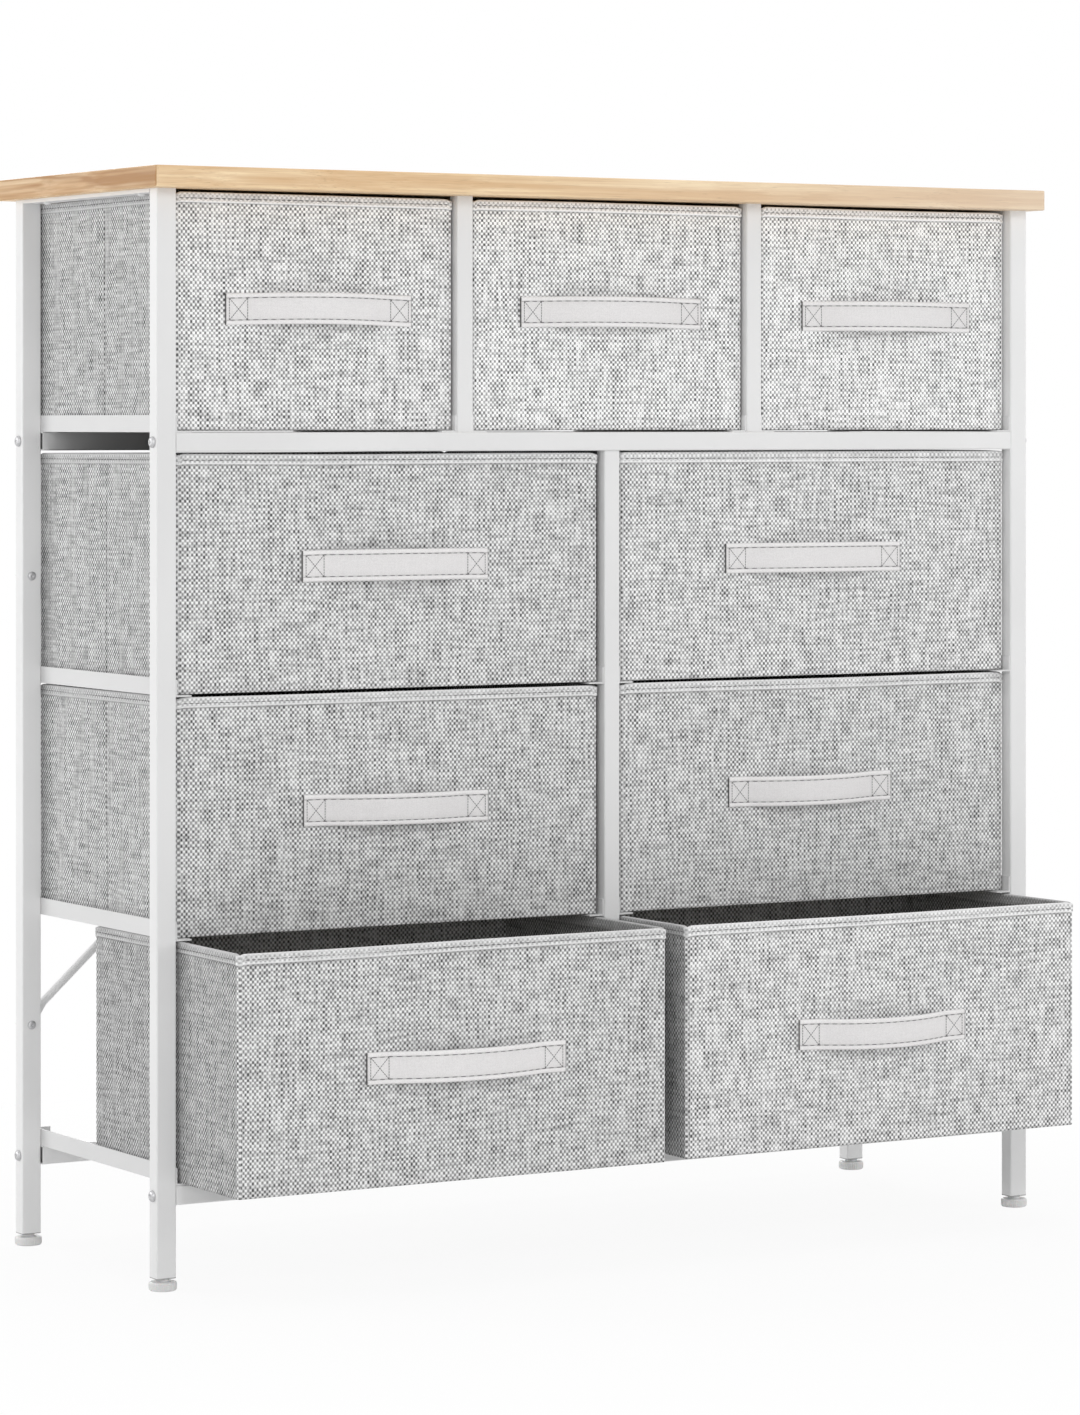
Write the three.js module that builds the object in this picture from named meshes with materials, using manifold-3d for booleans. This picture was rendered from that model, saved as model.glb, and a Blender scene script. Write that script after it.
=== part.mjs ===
// Fabric drawer dresser: a white steel frame under an oak board, with nine linen drawers.
// Millimetres, +Z up. +X runs to the right, +Y from the front of the dresser to its back.
// The origin is on the floor, under the middle of the dresser with its two lowest drawers part open.

import * as THREE from "three";
import { mergeVertices } from "three/addons/utils/BufferGeometryUtils.js";
import Module from "manifold-3d";

const wasm = await Module();
wasm.setup();

// Frame, from the left legs' outer faces to the right legs', and from the front faces to the rear ones
const frameWidth = 980;
const frameDepth = 310;

// Legs: rectangular steel tube with rounded corners, and a drilled plate in the lower end
const legWidth = 20;
const legDepth = 16;
const tubeWall = 1.2;
const tubeCornerRadius = 1.6;
const footPlateThickness = 3;
const footPlateHoleRadius = 4.4;

// Feet: screw-in plastic knobs that level the dresser
const footHeight = 12;
const footRadius = 13;
const footFaceRadius = 11.8;
const footRimLow = 1.6;
const footRimHigh = 6.4;
const footShoulderRadius = 10.6;
const footShoulderHeight = 8.4;
const footNeckRadius = 6.2;
const footNeckGap = 0.3;
const footStemRadius = 4;
const footStemLength = 22;

// Long rails, tube laid along X between the legs
const railHeight = 18;
const railDepth = 20;
const lowerRailUnderside = 77.8;

// Posts between the drawers
const postWidth = 17;
const postDepth = 16;
const frontPostRecess = 3.5;
const topMiddleBay = 309.6;

// Runners: folded sheet angles that carry the drawers, with a stop folded up at the rear end
const runnerSheet = 1.5;
const runnerHeight = 16;
const runnerFlange = 16;
const runnerEndInset = 1;
const channelFrontInset = 5.5;

// Drawers: linen over card, with a hem band round the rim
const drawerHeight = 220.8;
const drawerRecess = 10;
const drawerSeatGap = 0.3;
const drawerStopGap = 0.3;
const drawerHeadroom = 1.2;
const railHeadroom = 2.2;
const smallSideGap = 2.5;
const wideSideGap = 4.75;
const drawerWall = 3;
const drawerCornerRadius = 3.5;
const hemHeight = 9;
const hemProud = 1.1;
const leftDrawerOpen = 125;
const rightDrawerOpen = 119;

// Base boards that lie loose in the drawers
const baseBoardThickness = 2.5;
const baseBoardGap = 1;

// Handles: webbing straps sewn on at both ends and bowed out between them
const strapLength = 202;
const strapWidth = 29.5;
const strapThickness = 2.6;
const strapSewnLength = 24;
const strapBow = 18;
const strapRise = 5;

// Board on top
const boardThickness = 20;
const boardSideOverhang = 10;
const boardEdgeOverhang = 19;
const boardEdgeRadius = 1.2;
const boardCornerRadius = 3;

// Flat bars along the tops of the side frames, which the board is screwed to
const topBarThickness = 3.5;

// Cross braces behind the frame: round rod, flattened where it is bolted on
const braceRadius = 4;
const braceLowHeight = 213;
const braceHighHeight = 647;
const bracePostStep = 22;
const braceTabWidth = 12.4;
const braceTabThickness = 2;
const braceTabPastBolt = 7;
const braceFlatLength = 15;
const braceTaperLength = 14;
const braceStandOff = 0.4;

// Clear overrun of every cut
const cutOverrun = 5;

// Points of a solid that is joined or cut are rounded to this step, so that faces meant to meet do
const joinStep = 1 / 1024;

// Facet counts
const cornerFacets = 3;
const boardEdgeFacets = 2;
const roundFacets = 24;
const strapSteps = 14;
const braceSides = 12;

// Heights, stacked up from the floor
const lowerRailTop = lowerRailUnderside + railHeight;
const rowPitch = drawerHeight + drawerHeadroom + runnerSheet + drawerSeatGap;
const rowFourFloor = lowerRailTop + runnerSheet + drawerSeatGap;
const rowThreeFloor = rowFourFloor + rowPitch;
const rowTwoFloor = rowThreeFloor + rowPitch;
const upperRailUnderside = rowTwoFloor + drawerHeight + railHeadroom;
const upperRailTop = upperRailUnderside + railHeight;
const rowOneFloor = upperRailTop + runnerSheet + drawerSeatGap;
const legTop = rowOneFloor + drawerHeight + drawerHeadroom;
const rowFloors = [rowOneFloor, rowTwoFloor, rowThreeFloor, rowFourFloor];

// Places along X
const frameHalf = frameWidth / 2;
const legInner = frameHalf - legWidth;
const railLength = 2 * legInner;
const topSideBay = (railLength - topMiddleBay - 2 * postWidth) / 2;
const dividerX = topMiddleBay / 2 + postWidth / 2;
const wideBay = (railLength - postWidth) / 2;

// Places along Y. The open drawer's strap and the board's rear edge bound the dresser.
const drawerDepth = frameDepth - drawerRecess - runnerEndInset - runnerSheet - drawerStopGap;
const frontReach = leftDrawerOpen - drawerRecess + strapBow;
const rearReach = frameDepth + boardEdgeOverhang;
const frameFront = (frontReach - rearReach) / 2;
const frameRear = frameFront + frameDepth;
const closedFront = frameFront + drawerRecess;
const frontPostFront = frameFront + frontPostRecess;
const rearPostFront = frameRear - postDepth;

// Finishes
const finishes = {
  whiteSteel: { color: 0xe6e6e6, roughness: 0.45, metalness: 0.1 },
  whitePlastic: { color: 0xdedede, roughness: 0.5, metalness: 0 },
  oak: { color: 0xe3c198, roughness: 0.55, metalness: 0 },
  linen: { color: 0xc9c8c8, roughness: 0.95, metalness: 0 },
  fibreboard: { color: 0xb9b0a2, roughness: 0.9, metalness: 0 },
  webbing: { color: 0xdcd8d8, roughness: 0.9, metalness: 0 },
};

const dresser = new THREE.Group();

function addMesh(parent, name, geometry, finish) {
  const mesh = new THREE.Mesh(geometry, new THREE.MeshStandardMaterial(finishes[finish]));
  mesh.name = name;
  parent.add(mesh);
  return mesh;
}

// Solids for joining and cutting

function toSolid(geometry) {
  const bare = geometry.clone();
  bare.deleteAttribute("normal");
  bare.deleteAttribute("uv");
  const merged = mergeVertices(bare);
  const vertProperties = new Float32Array(merged.getAttribute("position").array);
  vertProperties.forEach((value, i) => {
    vertProperties[i] = Math.round(value / joinStep) * joinStep;
  });
  const triVerts = new Uint32Array(merged.getIndex().array);
  return new wasm.Manifold(new wasm.Mesh({ numProp: 3, vertProperties, triVerts }));
}

function toGeometry(solid) {
  const mesh = solid.getMesh();
  const geometry = new THREE.BufferGeometry();
  geometry.setAttribute("position", new THREE.BufferAttribute(new Float32Array(mesh.vertProperties), 3));
  geometry.setIndex(new THREE.BufferAttribute(new Uint32Array(mesh.triVerts), 1));
  geometry.computeVertexNormals();
  return geometry;
}

// A block between two corners
function block(low, high) {
  const geometry = new THREE.BoxGeometry(high[0] - low[0], high[1] - low[1], high[2] - low[2]);
  geometry.translate((low[0] + high[0]) / 2, (low[1] + high[1]) / 2, (low[2] + high[2]) / 2);
  return geometry;
}

// A rectangle with rounded corners, centred on the origin
function roundedRectangle(width, depth, radius) {
  const x = width / 2 - radius;
  const y = depth / 2 - radius;
  const quarter = Math.PI / 2;
  const outline = new THREE.Shape();
  outline.absarc(x, y, radius, 0, quarter);
  outline.absarc(-x, y, radius, quarter, 2 * quarter);
  outline.absarc(-x, -y, radius, 2 * quarter, 3 * quarter);
  outline.absarc(x, -y, radius, 3 * quarter, 4 * quarter);
  outline.closePath();
  return outline;
}

// A prism of an outline, standing on z = 0
function prism(outline, height) {
  const settings = { depth: height, bevelEnabled: false, curveSegments: cornerFacets };
  return new THREE.ExtrudeGeometry(outline, settings);
}

// A straight length of rectangular tube, open at both ends
function tube(width, depth, length) {
  const section = roundedRectangle(width, depth, tubeCornerRadius);
  const innerRadius = Math.max(tubeCornerRadius - tubeWall, tubeCornerRadius / 4);
  section.holes.push(roundedRectangle(width - 2 * tubeWall, depth - 2 * tubeWall, innerRadius));
  return prism(section, length);
}

// Legs, each a tube whose lower end is closed by the plate that its foot screws into

function legGeometry() {
  const length = legTop - footHeight;
  const plateWidth = legWidth - tubeWall;
  const plateDepth = legDepth - tubeWall;
  const plate = prism(roundedRectangle(plateWidth, plateDepth, tubeCornerRadius), footPlateThickness);
  const drill = new THREE.CylinderGeometry(
    footPlateHoleRadius, footPlateHoleRadius, footPlateThickness + 2 * cutOverrun, roundFacets);
  drill.rotateX(Math.PI / 2);
  return toGeometry(toSolid(tube(legWidth, legDepth, length)).add(toSolid(plate)).subtract(toSolid(drill)));
}

// Feet, turned about the stem: a knob with a bevelled rim, a neck and a threaded stem

function footGeometry() {
  const neckTop = footHeight - footNeckGap;
  const profile = [
    [0, 0],
    [footFaceRadius, 0],
    [footRadius, footRimLow],
    [footRadius, footRimHigh],
    [footShoulderRadius, footShoulderHeight],
    [footNeckRadius, footShoulderHeight],
    [footNeckRadius, neckTop],
    [footStemRadius, neckTop],
    [footStemRadius, neckTop + footStemLength],
    [0, neckTop + footStemLength],
  ];
  const points = profile.map(([radius, height]) => new THREE.Vector2(radius, height));
  const geometry = new THREE.LatheGeometry(points, roundFacets);
  geometry.rotateX(Math.PI / 2);
  return geometry;
}

for (const [sideName, side] of [["left", -1], ["right", 1]]) {
  for (const [endName, y] of [["front", frameFront + legDepth / 2], ["rear", frameRear - legDepth / 2]]) {
    const x = side * (frameHalf - legWidth / 2);
    const name = `${endName}_${sideName}`;
    addMesh(dresser, `${name}_leg`, legGeometry(), "whiteSteel").position.set(x, y, footHeight);
    addMesh(dresser, `${name}_foot`, footGeometry(), "whitePlastic").position.set(x, y, 0);
  }
}

// Long rails: two at the front and two at the rear, bolted through the legs

function railGeometry() {
  const geometry = tube(railHeight, railDepth, railLength);
  geometry.rotateY(Math.PI / 2);
  geometry.translate(-railLength / 2, 0, 0);
  return geometry;
}

for (const [levelName, underside] of [["lower", lowerRailUnderside], ["upper", upperRailUnderside]]) {
  const z = underside + railHeight / 2;
  for (const [endName, y] of [["front", frameFront + railDepth / 2], ["rear", frameRear - railDepth / 2]]) {
    addMesh(dresser, `${levelName}_${endName}_rail`, railGeometry(), "whiteSteel").position.set(0, y, z);
  }
}

// Centre posts, which stand on the lower rails and end under the upper ones

const centrePostLength = upperRailUnderside - lowerRailTop;
for (const [endName, front] of [["front", frontPostFront], ["rear", rearPostFront]]) {
  const geometry = tube(postWidth, postDepth, centrePostLength);
  const mesh = addMesh(dresser, `${endName}_centre_post`, geometry, "whiteSteel");
  mesh.position.set(0, front + postDepth / 2, lowerRailTop);
}

// Side runners: a web on the legs' inner faces, a flange under the drawer and a stop at the rear end.
// It stands on z = 0. The side is -1 on the left and 1 on the right.

function sideRunnerGeometry(side) {
  const front = frameFront + runnerEndInset;
  const rear = frameRear - runnerEndInset;
  const wallX = side * legInner;
  const webX = side * (legInner - runnerSheet);
  const edgeX = side * (legInner - runnerFlange);
  const across = (a, b) => [Math.min(a, b), Math.max(a, b)];
  const [webLow, webHigh] = across(wallX, webX);
  const [flangeLow, flangeHigh] = across(wallX, edgeX);
  const web = block([webLow, front, 0], [webHigh, rear, runnerHeight]);
  const flange = block([flangeLow, front, 0], [flangeHigh, rear, runnerSheet]);
  const stop = block([flangeLow, rear - runnerSheet, 0], [flangeHigh, rear, runnerHeight]);
  return toGeometry(toSolid(web).add(toSolid(flange)).add(toSolid(stop)));
}

for (const [sideName, side] of [["left", -1], ["right", 1]]) {
  rowFloors.forEach((floor, row) => {
    const name = `${sideName}_runner_row${row + 1}`;
    const mesh = addMesh(dresser, name, sideRunnerGeometry(side), "whiteSteel");
    mesh.position.z = floor - drawerSeatGap - runnerSheet;
  });
}

// Hat channels: one pressed sheet that clasps the posts and carries a drawer on each side.
// It is centred on x = 0 and stands on z = 0. Its top is left out where it clasps the two posts.

function channelSolid() {
  const front = frameFront + channelFrontInset;
  const rear = frameRear - runnerEndInset;
  const inner = postWidth / 2;
  const topHalf = inner + runnerSheet / 2;
  const topLow = [-topHalf, frontPostFront + postDepth, runnerHeight - runnerSheet];
  let solid = toSolid(block(topLow, [topHalf, rearPostFront, runnerHeight]));
  for (const side of [-1, 1]) {
    const near = side * inner;
    const web = side * (inner + runnerSheet);
    const edge = side * (inner + runnerFlange);
    const webLow = [Math.min(near, web), front, 0];
    const edgeLow = Math.min(near, edge);
    const edgeHigh = Math.max(near, edge);
    solid = solid.add(toSolid(block(webLow, [Math.max(near, web), rear, runnerHeight])));
    solid = solid.add(toSolid(block([edgeLow, front, 0], [edgeHigh, rear, runnerSheet])));
    solid = solid.add(toSolid(block([edgeLow, rear - runnerSheet, 0], [edgeHigh, rear, runnerHeight])));
  }
  return solid;
}

for (const row of [1, 2, 3]) {
  const mesh = addMesh(dresser, `centre_runner_row${row + 1}`, toGeometry(channelSolid()), "whiteSteel");
  mesh.position.z = rowFloors[row] - drawerSeatGap - runnerSheet;
}

// Divider frames of the top row: a front post, a rear post and a hat channel, welded into one piece

function dividerFrameGeometry() {
  const height = legTop - upperRailTop;
  let solid = channelSolid();
  for (const front of [frontPostFront, rearPostFront]) {
    const post = tube(postWidth, postDepth, height);
    post.translate(0, front + postDepth / 2, 0);
    solid = solid.add(toSolid(post));
  }
  return toGeometry(solid);
}

for (const [sideName, side] of [["left", -1], ["right", 1]]) {
  const mesh = addMesh(dresser, `${sideName}_divider_frame`, dividerFrameGeometry(), "whiteSteel");
  mesh.position.set(side * dividerX, 0, upperRailTop);
}

// Flat bars between the tops of the legs

for (const [sideName, side] of [["left", -1], ["right", 1]]) {
  const low = Math.min(side * frameHalf, side * legInner);
  const high = Math.max(side * frameHalf, side * legInner);
  const bar = block(
    [low, frameFront + legDepth, legTop - topBarThickness], [high, frameRear - legDepth, legTop]);
  addMesh(dresser, `${sideName}_top_bar`, bar, "whiteSteel");
}

// Board: one flat panel with its edges just broken

const boardWidth = frameWidth + 2 * boardSideOverhang;
const boardDepth = frameDepth + 2 * boardEdgeOverhang;
const boardOutline = roundedRectangle(boardWidth, boardDepth, boardCornerRadius);
const boardGeometry = new THREE.ExtrudeGeometry(boardOutline, {
  depth: boardThickness - 2 * boardEdgeRadius,
  bevelThickness: boardEdgeRadius,
  bevelSize: boardEdgeRadius,
  bevelOffset: -boardEdgeRadius,
  bevelSegments: boardEdgeFacets,
  curveSegments: boardEdgeFacets,
});
const boardMesh = addMesh(dresser, "top_board", boardGeometry, "oak");
boardMesh.position.set(0, (frameFront + frameRear) / 2, legTop + boardEdgeRadius);

// Cross braces. A rod is lofted through rings of equal point count, flat at its ends and round between.

function braceRod(start, end) {
  const along = new THREE.Vector3().subVectors(end, start);
  const span = along.length();
  along.normalize();
  const across = new THREE.Vector3().crossVectors(new THREE.Vector3(0, 1, 0), along);
  const flatOffset = braceTabThickness / 2;
  const roundOffset = braceRadius + braceStandOff;
  const flatEnd = braceFlatLength;
  const roundStart = braceFlatLength + braceTaperLength;
  const stations = [
    [-braceTabPastBolt, 0],
    [flatEnd, 0],
    [roundStart, 1],
    [span - roundStart, 1],
    [span - flatEnd, 0],
    [span + braceTabPastBolt, 0],
  ];
  const positions = [];
  for (const [distance, round] of stations) {
    const centre = start.clone().addScaledVector(along, distance);
    centre.y += round ? roundOffset : flatOffset;
    for (let i = 0; i < braceSides; i += 1) {
      const angle = ((i + 1 / 2) * 2 * Math.PI) / braceSides;
      let a = Math.cos(angle);
      let b = Math.sin(angle);
      if (round) {
        a *= braceRadius;
        b *= braceRadius;
      } else {
        const stretch = 1 / Math.max(Math.abs(a), Math.abs(b));
        a *= (stretch * braceTabWidth) / 2;
        b *= (stretch * braceTabThickness) / 2;
      }
      const point = centre.clone().addScaledVector(across, a);
      positions.push(point.x, point.y + b, point.z);
    }
  }
  const index = [];
  for (let ring = 0; ring + 1 < stations.length; ring += 1) {
    for (let i = 0; i < braceSides; i += 1) {
      const a = ring * braceSides + i;
      const b = ring * braceSides + ((i + 1) % braceSides);
      index.push(a, b, a + braceSides, b, b + braceSides, a + braceSides);
    }
  }
  const last = (stations.length - 1) * braceSides;
  for (let i = 1; i + 1 < braceSides; i += 1) {
    index.push(0, i + 1, i);
    index.push(last, last + i, last + i + 1);
  }
  const geometry = new THREE.BufferGeometry();
  geometry.setAttribute("position", new THREE.Float32BufferAttribute(positions, 3));
  geometry.setIndex(index);
  return geometry;
}

function braceGeometry(side) {
  const outerX = side * (frameHalf - legWidth / 2);
  const step = side > 0 ? bracePostStep : 0;
  const low = new THREE.Vector3(outerX, frameRear, braceLowHeight);
  const high = new THREE.Vector3(outerX, frameRear, braceHighHeight);
  const postLow = new THREE.Vector3(0, frameRear, braceLowHeight - step);
  const postHigh = new THREE.Vector3(0, frameRear, braceHighHeight + step);
  const rising = toSolid(braceRod(low, postHigh));
  const falling = toSolid(braceRod(high, postLow));
  return toGeometry(rising.add(falling));
}

addMesh(dresser, "left_brace", braceGeometry(-1), "whiteSteel");
addMesh(dresser, "right_brace", braceGeometry(1), "whiteSteel");

// Drawers. Each group's origin is the middle of the lower edge of the drawer's front face.

function shellGeometry(width) {
  const middle = drawerDepth / 2;
  const body = prism(roundedRectangle(width, drawerDepth, drawerCornerRadius), drawerHeight);
  const hemOutline = roundedRectangle(
    width + 2 * hemProud, drawerDepth + 2 * hemProud, drawerCornerRadius + hemProud);
  const hem = prism(hemOutline, hemHeight);
  hem.translate(0, 0, drawerHeight - hemHeight);
  const hollowRadius = Math.max(drawerCornerRadius - drawerWall, drawerCornerRadius / 4);
  const hollow = prism(
    roundedRectangle(width - 2 * drawerWall, drawerDepth - 2 * drawerWall, hollowRadius),
    drawerHeight - drawerWall + cutOverrun);
  hollow.translate(0, 0, drawerWall);
  const geometry = toGeometry(toSolid(body).add(toSolid(hem)).subtract(toSolid(hollow)));
  geometry.translate(0, middle, 0);
  return geometry;
}

function baseBoardGeometry(width) {
  const inset = drawerWall + baseBoardGap;
  return block(
    [-width / 2 + inset, inset, drawerWall],
    [width / 2 - inset, drawerDepth - inset, drawerWall + baseBoardThickness]);
}

// The strap's outline seen from above, then raised through its width
function handleGeometry() {
  const half = strapLength / 2;
  const loose = strapLength - 2 * strapSewnLength;
  const curve = [[-half, 0]];
  for (let i = 0; i <= strapSteps; i += 1) {
    const share = i / strapSteps;
    const lift = (strapBow - strapThickness) * Math.sin(Math.PI * share);
    curve.push([-loose / 2 + loose * share, lift]);
  }
  curve.push([half, 0]);
  const outline = new THREE.Shape();
  outline.moveTo(curve[0][0], -curve[0][1]);
  for (const [x, lift] of curve.slice(1)) {
    outline.lineTo(x, -lift);
  }
  for (const [x, lift] of [...curve].reverse()) {
    outline.lineTo(x, -lift - strapThickness);
  }
  outline.closePath();
  const geometry = prism(outline, strapWidth);
  geometry.translate(0, 0, drawerHeight / 2 + strapRise - strapWidth / 2);
  return geometry;
}

function addDrawer(name, x, width, floor, open) {
  const drawer = new THREE.Group();
  drawer.position.set(x, closedFront - open, floor);
  addMesh(drawer, `${name}_shell`, shellGeometry(width), "linen");
  addMesh(drawer, `${name}_base_board`, baseBoardGeometry(width), "fibreboard");
  addMesh(drawer, `${name}_handle`, handleGeometry(), "webbing");
  dresser.add(drawer);
}

const sideBayX = topMiddleBay / 2 + postWidth + topSideBay / 2;
addDrawer("row1_left", -sideBayX, topSideBay - 2 * smallSideGap, rowOneFloor, 0);
addDrawer("row1_middle", 0, topMiddleBay - 2 * smallSideGap, rowOneFloor, 0);
addDrawer("row1_right", sideBayX, topSideBay - 2 * smallSideGap, rowOneFloor, 0);

const wideBayX = postWidth / 2 + wideBay / 2;
const wideWidth = wideBay - 2 * wideSideGap;
for (const [row, leftOpen, rightOpen] of [[2, 0, 0], [3, 0, 0], [4, leftDrawerOpen, rightDrawerOpen]]) {
  addDrawer(`row${row}_left`, -wideBayX, wideWidth, rowFloors[row - 1], leftOpen);
  addDrawer(`row${row}_right`, wideBayX, wideWidth, rowFloors[row - 1], rightOpen);
}

export default dresser;
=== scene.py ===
import math

import bpy
import numpy as np
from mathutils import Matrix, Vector


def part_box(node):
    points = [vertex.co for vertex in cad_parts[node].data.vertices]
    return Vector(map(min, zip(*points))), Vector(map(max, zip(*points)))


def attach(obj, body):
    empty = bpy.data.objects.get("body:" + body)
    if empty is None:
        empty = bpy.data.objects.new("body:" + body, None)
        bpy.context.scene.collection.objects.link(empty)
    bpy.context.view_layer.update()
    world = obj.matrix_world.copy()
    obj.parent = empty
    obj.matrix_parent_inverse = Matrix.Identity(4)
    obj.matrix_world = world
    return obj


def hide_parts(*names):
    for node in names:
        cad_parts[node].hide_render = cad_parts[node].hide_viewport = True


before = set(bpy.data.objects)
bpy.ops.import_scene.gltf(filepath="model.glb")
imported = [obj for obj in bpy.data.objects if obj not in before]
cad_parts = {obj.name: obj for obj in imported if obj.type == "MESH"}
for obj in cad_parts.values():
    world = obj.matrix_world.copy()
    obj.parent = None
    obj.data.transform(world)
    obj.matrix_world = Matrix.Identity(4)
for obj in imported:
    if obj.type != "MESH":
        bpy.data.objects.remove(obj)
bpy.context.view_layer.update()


# The camera stands in front of the dresser and to its left, level and at three quarters of its
# height, with a long lens. The lens is shifted down, not tilted, so upright edges stay upright.
camera_data = bpy.data.cameras.new("camera")
camera_data.sensor_width = 36
camera_data.lens = 125.94
camera_data.shift_y = -0.20045
camera = bpy.data.objects.new("camera", camera_data)
camera.location = (-2.48785, -4.17367, 0.79396)
camera.rotation_euler = (math.pi / 2, 0, math.radians(-30.5404))
bpy.context.scene.collection.objects.link(camera)
bpy.context.scene.camera = camera
bpy.context.scene.view_settings.view_transform = "Standard"


# The studio: a wide white floor that fades into a white background, large softboxes in front to the
# left and right, a small one high in front, others at the left, above and behind, and an even fill.
def wire(socket, value):
    """Puts a plain value, or what another node gives, into a node's input."""
    if isinstance(value, bpy.types.NodeSocket):
        socket.id_data.links.new(value, socket)
    else:
        socket.default_value = value


def reckon(tree, operation, *values, clamp=False):
    """What a Math node makes of the values."""
    node = tree.nodes.new("ShaderNodeMath")
    node.operation = operation
    node.use_clamp = clamp
    for socket, value in zip(node.inputs, values):
        wire(socket, value)
    return node.outputs[0]


def graded(tree, value, start, end, low=0.0, high=1.0):
    """The value's way from start to end, turned into a number between low and high."""
    node = tree.nodes.new("ShaderNodeMapRange")
    for socket, number in zip(node.inputs, (value, start, end, low, high)):
        wire(socket, number)
    return node.outputs[0]


def add_shaders(tree, share, first, second):
    """The first shader where the share is 0, and the second where it is 1."""
    node = tree.nodes.new("ShaderNodeMixShader")
    wire(node.inputs[0], share)
    wire(node.inputs[1], first)
    wire(node.inputs[2], second)
    return node.outputs[0]


def seen_directly(tree):
    """1 for what the camera sees straight, in a gloss or through glass, 0 for light on things."""
    path = tree.nodes.new("ShaderNodeLightPath")
    straight_or_gloss = reckon(
        tree, "MAXIMUM", path.outputs["Is Camera Ray"], path.outputs["Is Glossy Ray"]
    )
    return reckon(tree, "MAXIMUM", straight_or_gloss, path.outputs["Is Transmission Ray"])


fill_strength = 0.48
white_colour = (1, 1, 1, 1)
world = bpy.data.worlds.new("studio")
world.use_nodes = True
bpy.context.scene.world = world
sky = world.node_tree
fill = sky.nodes["Background"]
wire(fill.inputs["Color"], white_colour)
wire(fill.inputs["Strength"], fill_strength)
white = sky.nodes.new("ShaderNodeBackground")
wire(white.inputs["Color"], white_colour)
seen = add_shaders(sky, seen_directly(sky), fill.outputs[0], white.outputs[0])
wire(sky.nodes["World Output"].inputs["Surface"], seen)


def softbox(name, place, aim, side, power):
    """A square lamp with sides of that many metres, turned to the place it aims at."""
    lamp = bpy.data.lights.new(name, "AREA")
    lamp.shape = "SQUARE"
    lamp.size = side
    lamp.energy = power
    holder = bpy.data.objects.new(name, lamp)
    holder.location = place
    holder.rotation_mode = "QUATERNION"
    holder.rotation_quaternion = (Vector(place) - Vector(aim)).to_track_quat("Z", "Y")
    bpy.context.scene.collection.objects.link(holder)


softbox("right_softbox", (3.4, -2.4, 1.3), (0, 0, 0.5), 1.6, 33.5)
softbox("front_softbox", (-0.7, -3.2, 2.3), (0, 0, 0.5), 0.6, 14.5)
softbox("front_left_softbox", (-3.0, -3.0, 1.1), (0, 0, 0.35), 2.4, 32)
softbox("left_softbox", (-2.6, 1.6, 1.3), (-0.3, 0, 0.6), 1.8, 30)
softbox("top_softbox", (0.2, 0.2, 3.4), (0, 0, 1), 2.0, 28)
softbox("rear_softbox", (1.4, 3.6, 1.7), (0, 0, 0.6), 2.0, 34)


def mesh_object(name, points, faces, material):
    """A smooth shaded piece from its points and faces."""
    mesh = bpy.data.meshes.new(name)
    mesh.from_pydata([tuple(p) for p in points], [], faces)
    mesh.materials.append(material)
    mesh.polygons.foreach_set("use_smooth", [True] * len(mesh.polygons))
    mesh.update()
    made = bpy.data.objects.new(name, mesh)
    bpy.context.scene.collection.objects.link(made)
    return made


floor_radii = (0.4, 0.8, 1.6, 3.2, 8, 20, 60)
floor_spokes = 96
fade_start, fade_end, fade_low = 0.45, 1.1, 0.92
floor_material = bpy.data.materials.new("studio_floor")
floor_material.use_nodes = True
paper = floor_material.node_tree
paper_shader = paper.nodes["Principled BSDF"]
wire(paper_shader.inputs["Base Color"], (0.82, 0.82, 0.82, 1))
wire(paper_shader.inputs["Roughness"], 0.9)
wire(paper_shader.inputs["Specular IOR Level"], 0.1)
paper_place = paper.nodes.new("ShaderNodeTexCoord").outputs["Object"]
paper_distance = paper.nodes.new("ShaderNodeVectorMath")
paper_distance.operation = "LENGTH"
wire(paper_distance.inputs[0], paper_place)
shadow_fade = graded(paper, paper_distance.outputs["Value"], fade_start, fade_end, fade_low, 1.0)
glow = paper.nodes.new("ShaderNodeEmission")
glow_share = reckon(paper, "MULTIPLY", seen_directly(paper), shadow_fade)
floor_look = add_shaders(paper, glow_share, paper_shader.outputs[0], glow.outputs[0])
wire(paper.nodes["Material Output"].inputs["Surface"], floor_look)

floor_points = [(0, 0, 0)]
for radius in floor_radii:
    for i in range(floor_spokes):
        turn = 2 * math.pi * i / floor_spokes
        floor_points.append((radius * math.cos(turn), radius * math.sin(turn), 0))
floor_faces = [(0, 1 + i, 1 + (i + 1) % floor_spokes) for i in range(floor_spokes)]
for ring in range(len(floor_radii) - 1):
    near, far = 1 + ring * floor_spokes, 1 + (ring + 1) * floor_spokes
    for i in range(floor_spokes):
        j = (i + 1) % floor_spokes
        floor_faces.append((near + i, far + i, far + j, near + j))
floor = mesh_object("studio_floor", floor_points, floor_faces, floor_material)


# The frame: rectangular steel tube and folded sheet, welded and bolted, under white powder coat.
# The coat is satin, with the faint orange peel of baked powder and slight differences of tone.
def finish(name, colour, roughness):
    """A new material and its shader, with the colour and roughness that hold all over it."""
    material = bpy.data.materials.new(name)
    material.use_nodes = True
    shader = material.node_tree.nodes["Principled BSDF"]
    wire(shader.inputs["Base Color"], (*colour, 1))
    wire(shader.inputs["Roughness"], roughness)
    return material, material.node_tree, shader


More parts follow.
